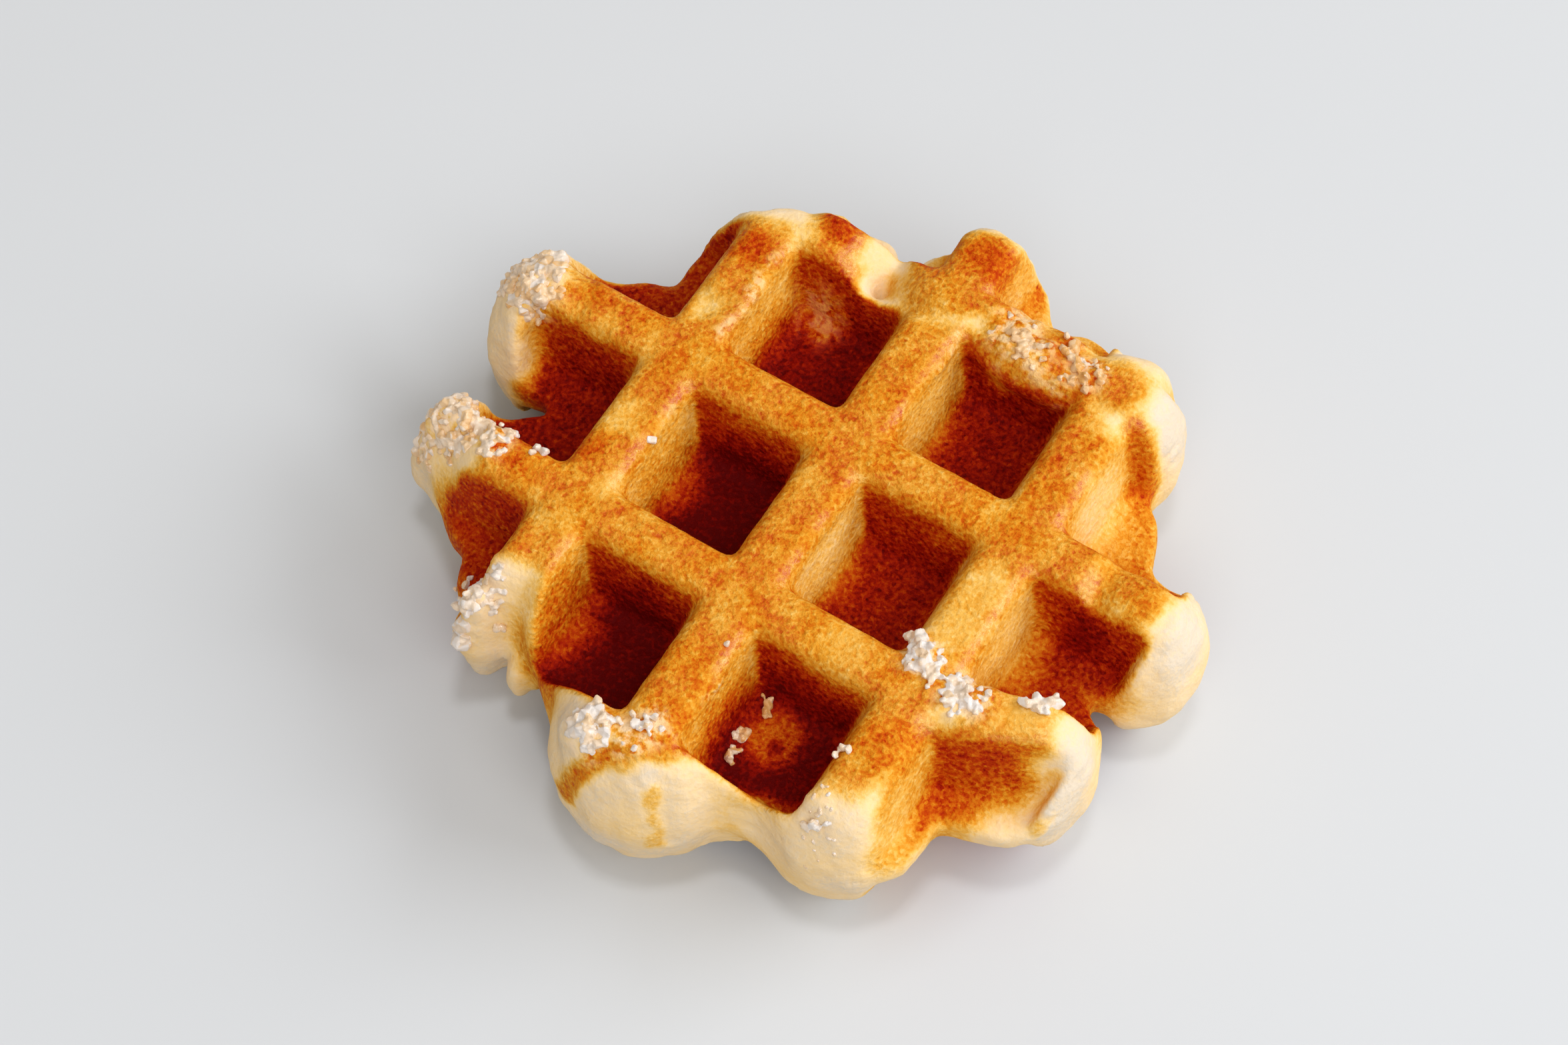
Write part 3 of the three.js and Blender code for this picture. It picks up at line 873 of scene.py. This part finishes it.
def kept(tree, name):
    """A number that was kept on the points."""
    return put(tree, "Attribute", attribute_name=name).outputs["Fac"]


def cells_of(tree, where, size):
    """A random grey in each cell of that size in millimetres."""
    return put(tree, "TexVoronoi", {"Vector": where, "Scale": 1 / (size * MM)}).outputs["Color"]


def bump_of(tree, height, strength, distance):
    inputs = {"Height": height, "Strength": strength, "Distance": distance * MM}
    return put(tree, "Bump", inputs).outputs[0]


def noise_of(tree, where, size, detail=2.0, rough=0.55):
    """Noise from 0 to 1 with features of that size in millimetres."""
    inputs = {"Vector": where, "Scale": 1 / (size * MM), "Detail": detail, "Roughness": rough}
    return put(tree, "TexNoise", inputs).outputs["Fac"]


def ramp(tree, factor, stops):
    """A colour from a list of places and colours."""
    made = put(tree, "ValToRGB", {"Fac": factor})
    elements = made.color_ramp.elements
    while len(elements) < len(stops):
        elements.new(0.5)
    for element, (at, colour) in zip(elements, stops):
        element.position = at
        element.color = (*colour, 1)
    return made.outputs["Color"]


def mix(tree, factor, a, b):
    """Colour a, turned into the constant colour b. The node's colours are inputs 6 and 7."""
    return put(tree, "Mix", {"Factor": factor, 6: a, 7: (*b, 1)}, data_type="RGBA").outputs[2]


def new_material(name):
    """A material, its nodes, its shader and the place on the object."""
    made = bpy.data.materials.new(name)
    made.use_nodes = True
    tree = made.node_tree
    shader = tree.nodes["Principled BSDF"]
    where = put(tree, "TexCoord").outputs["Object"]
    return made, tree, shader, where


# The colour of each tone, and of melted sugar on the crust.
TONES = (
    (0.0, (0.72, 0.60, 0.45)),
    (0.06, (0.85, 0.63, 0.36)),
    (0.12, (0.88, 0.61, 0.28)),
    (0.19, (0.86, 0.54, 0.17)),
    (0.28, (0.80, 0.43, 0.075)),
    (0.4, (0.72, 0.30, 0.022)),
    (0.5, (0.64, 0.205, 0.008)),
    (0.6, (0.57, 0.112, 0.003)),
    (0.7, (0.46, 0.045, 0.0012)),
    (0.8, (0.36, 0.014, 0.001)),
    (0.9, (0.22, 0.004, 0.001)),
    (1.0, (0.10, 0.0012, 0.001)),
)
SUGAR_FILM = (0.9, 0.63, 0.38)

# Sizes in millimetres of what the crust's speckle is made of, how much the second and third
# count, and what all three make up on average.
FINE = 0.6
MIDDLING = 2.4
GRAIN = 0.42
MIDDLING_SHARE = 0.3
GRAIN_SHARE = 0.35
AVERAGE = (1 + MIDDLING_SHARE + GRAIN_SHARE) / 2

# How strong the speckle is: a little on raw dough, whole on baked crust, half on the darkest.
SPECKLE_TONES = (0.1, 0.45)
SPECKLE_RAW = 0.1
SPECKLE_BAKED = 0.55
DARK_TONES = (0.8, 1.0)
DARK_SHARE = 0.5

# Melted sugar lies in patches of this size, makes the crust under it paler, and hides most of it.
FILM_PATCHES = 1.6
FILM_EDGE = (0.42, 0.56)
FILM_PALER = 0.5
FILM_HIDES = 0.85

# Relief too fine for the mesh: its depth in millimetres, how much the middling noise counts in
# it, and how much of it doesn't go with the speckle.
FINE_RELIEF = 0.5
RELIEF_MIDDLING = 1.2
RAW_RELIEF = 0.2

# The range of the fine noise, and the roughness that goes with it.
FINE_RANGE = (0.3, 0.7)
ROUGHNESS = (0.5, 0.7)


def speckle_on(tree, tone, fine, middling, grain, baked):
    """The tone with the speckle of the crust."""
    speckle = plus(tree, plus(tree, fine, middling, MIDDLING_SHARE), grain, GRAIN_SHARE)
    speckle = maths(tree, "SUBTRACT", AVERAGE, speckle)
    dark = spread(tree, tone, *DARK_TONES, 1.0, DARK_SHARE)
    return maths(tree, "ADD", tone, times(tree, times(tree, speckle, baked), dark), clamp=True)


def crust_colour(tree, where, toned):
    """The colour of the crust, with the melted sugar that lies on it, whose streaks on the shoulders
    are partly a painted highlight.
    """
    patchy = spread(tree, noise_of(tree, where, FILM_PATCHES, 3), *FILM_EDGE)
    sugary = times(tree, kept(tree, "film_and_highlight"), patchy)
    clear = maths(tree, "SUBTRACT", 1, times(tree, sugary, FILM_PALER))
    colour = ramp(tree, times(tree, toned, clear), TONES)
    return mix(tree, times(tree, times(tree, sugary, sugary), FILM_HIDES), colour, SUGAR_FILM)


def crust_material():
    made, tree, shader, where = new_material("baked crust")
    tone = kept(tree, "tone")
    fine = noise_of(tree, where, FINE, 3, 0.6)
    middling = noise_of(tree, where, MIDDLING)
    grain = cells_of(tree, where, GRAIN)
    baked = spread(tree, tone, *SPECKLE_TONES, SPECKLE_RAW, SPECKLE_BAKED)
    toned = speckle_on(tree, tone, fine, middling, grain, baked)
    tree.links.new(crust_colour(tree, where, toned), shader.inputs["Base Color"])
    tree.links.new(spread(tree, fine, *FINE_RANGE, *ROUGHNESS), shader.inputs["Roughness"])
    tree.links.new(kept(tree, "gloss"), shader.inputs["Coat Weight"])
    shader.inputs["Coat Roughness"].default_value = 0.3
    shader.inputs["Specular IOR Level"].default_value = 0.03
    height = plus(tree, fine, middling, RELIEF_MIDDLING)
    height = times(tree, height, maths(tree, "ADD", baked, RAW_RELIEF))
    bump = bump_of(tree, height, 0.8, FINE_RELIEF)
    tree.links.new(bump, shader.inputs["Normal"])
    tree.links.new(bump, shader.inputs["Coat Normal"])
    return made


# The sugar's colours, from clear crystals to brown melted ones.
SUGAR_TONES = (
    (0.35, (0.86, 0.78, 0.70)),
    (0.55, (0.86, 0.70, 0.53)),
    (0.8, (0.84, 0.58, 0.32)),
    (1.0, (0.80, 0.42, 0.12)),
)

# Sizes in millimetres of what mottles the sugar, how much each counts, and how much the melting.
CLOUD = 1.6
CRYSTAL = 1.1
CLOUD_SHARE = 0.4
CRYSTAL_SHARE = 0.6
AMBER_SHARE = 0.35
CRYSTAL_EDGES = 0.5  # how much the crystals' edges count in the relief
SUGAR_RELIEF = 0.15


def sugar_material():
    made, tree, shader, where = new_material("pearl sugar")
    cloudy = noise_of(tree, where, CLOUD, 3)
    crystal = cells_of(tree, where, CRYSTAL)
    mottled = plus(tree, times(tree, cloudy, CLOUD_SHARE), crystal, CRYSTAL_SHARE)
    brown = plus(tree, mottled, kept(tree, "amber"), AMBER_SHARE)
    tree.links.new(ramp(tree, brown, SUGAR_TONES), shader.inputs["Base Color"])
    shader.inputs["Roughness"].default_value = 0.25
    shader.inputs["IOR"].default_value = 1.5
    shader.inputs["Transmission Weight"].default_value = 0.15
    bump = bump_of(tree, plus(tree, cloudy, crystal, CRYSTAL_EDGES), 0.5, SUGAR_RELIEF)
    tree.links.new(bump, shader.inputs["Normal"])
    return made


FLOOR_COLOUR = (0.61, 0.62, 0.62, 1)


def floor_material():
    made, _, shader, _ = new_material("pale floor")
    shader.inputs["Base Color"].default_value = FLOOR_COLOUR
    shader.inputs["Roughness"].default_value = 0.6
    shader.inputs["Specular IOR Level"].default_value = 0.2
    return made


# ---------------------------------------------------------------- floor, light and camera

CAMERA_AZIMUTH = math.radians(32.18)  # from -Y towards +X
CAMERA_ELEVATION = math.radians(61.99)
CAMERA_DISTANCE = 393
CAMERA_TARGET = (-0.66, -1.7, THICK)  # on the grid's axes
LENS = 78.9
SENSOR = 36
LIGHTS = (
    # name, azimuth from +X towards +Y and elevation in degrees, then distance, width and height
    # in metres, and watts
    ("window", 40, 35, 1.7, 1.55, 1, 23.3),
    ("front", -45, 50, 1.2, 1.1, 0.7, 6.8),
    ("above", 0, 88, 1.2, 0.16, 0.16, 2.5),
)
DAYLIGHT = (0.97, 1, 1.06)
SKY = 0.37
SKY_COLOUR = (1, 0.93, 0.85, 1)


def direction(azimuth, elevation):
    """From the object towards a point seen at these angles, azimuth 0 along +X."""
    flat = math.cos(elevation)
    return Vector((math.cos(azimuth) * flat, math.sin(azimuth) * flat, math.sin(elevation)))


def add_camera():
    back = direction(CAMERA_AZIMUTH - math.pi / 2, CAMERA_ELEVATION)
    data = bpy.data.cameras.new("camera")
    data.lens = LENS
    data.sensor_width = SENSOR
    data.clip_start = 0.01
    camera = bpy.data.objects.new("camera", data)
    camera.location = Vector(to_frame(CAMERA_TARGET)) + back * CAMERA_DISTANCE * MM
    camera.rotation_euler = back.to_track_quat("Z", "Y").to_euler()
    bpy.context.scene.collection.objects.link(camera)
    bpy.context.scene.camera = camera


def add_lights():
    for name, azimuth, elevation, distance, width, height, watts in LIGHTS:
        towards = direction(math.radians(azimuth), math.radians(elevation))
        data = bpy.data.lights.new(name, "AREA")
        data.shape = "RECTANGLE"
        data.size = width
        data.size_y = height
        data.energy = watts
        data.color = DAYLIGHT
        light = bpy.data.objects.new(name, data)
        light.location = towards * distance
        light.rotation_euler = towards.to_track_quat("Z", "Y").to_euler()
        bpy.context.scene.collection.objects.link(light)
    world = bpy.data.worlds.new("studio")
    world.use_nodes = True
    background = world.node_tree.nodes["Background"]
    background.inputs["Color"].default_value = SKY_COLOUR
    background.inputs["Strength"].default_value = SKY
    bpy.context.scene.world = world


def add_floor():
    corners = np.array([(-1, -1, 0), (1, -1, 0), (1, 1, 0), (-1, 1, 0)], float)
    floor = mesh_object("floor", corners, np.array([(0, 1, 2, 3)]), False)
    floor.data.materials.append(floor_material())


# ---------------------------------------------------------------- the scene

crust, crust_points, crust_quads = make_crust()
crust.data.materials.append(crust_material())
sugar = make_sugar(crust_points, crust_quads)
sugar.data.materials.append(sugar_material())
for piece in (crust, sugar):
    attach(piece, "root")
    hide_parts("waffle")
    print(piece.name, sum(len(f.vertices) - 2 for f in piece.data.polygons), "triangles")

add_floor()
add_lights()
add_camera()
bpy.context.scene.view_settings.view_transform = "Standard"
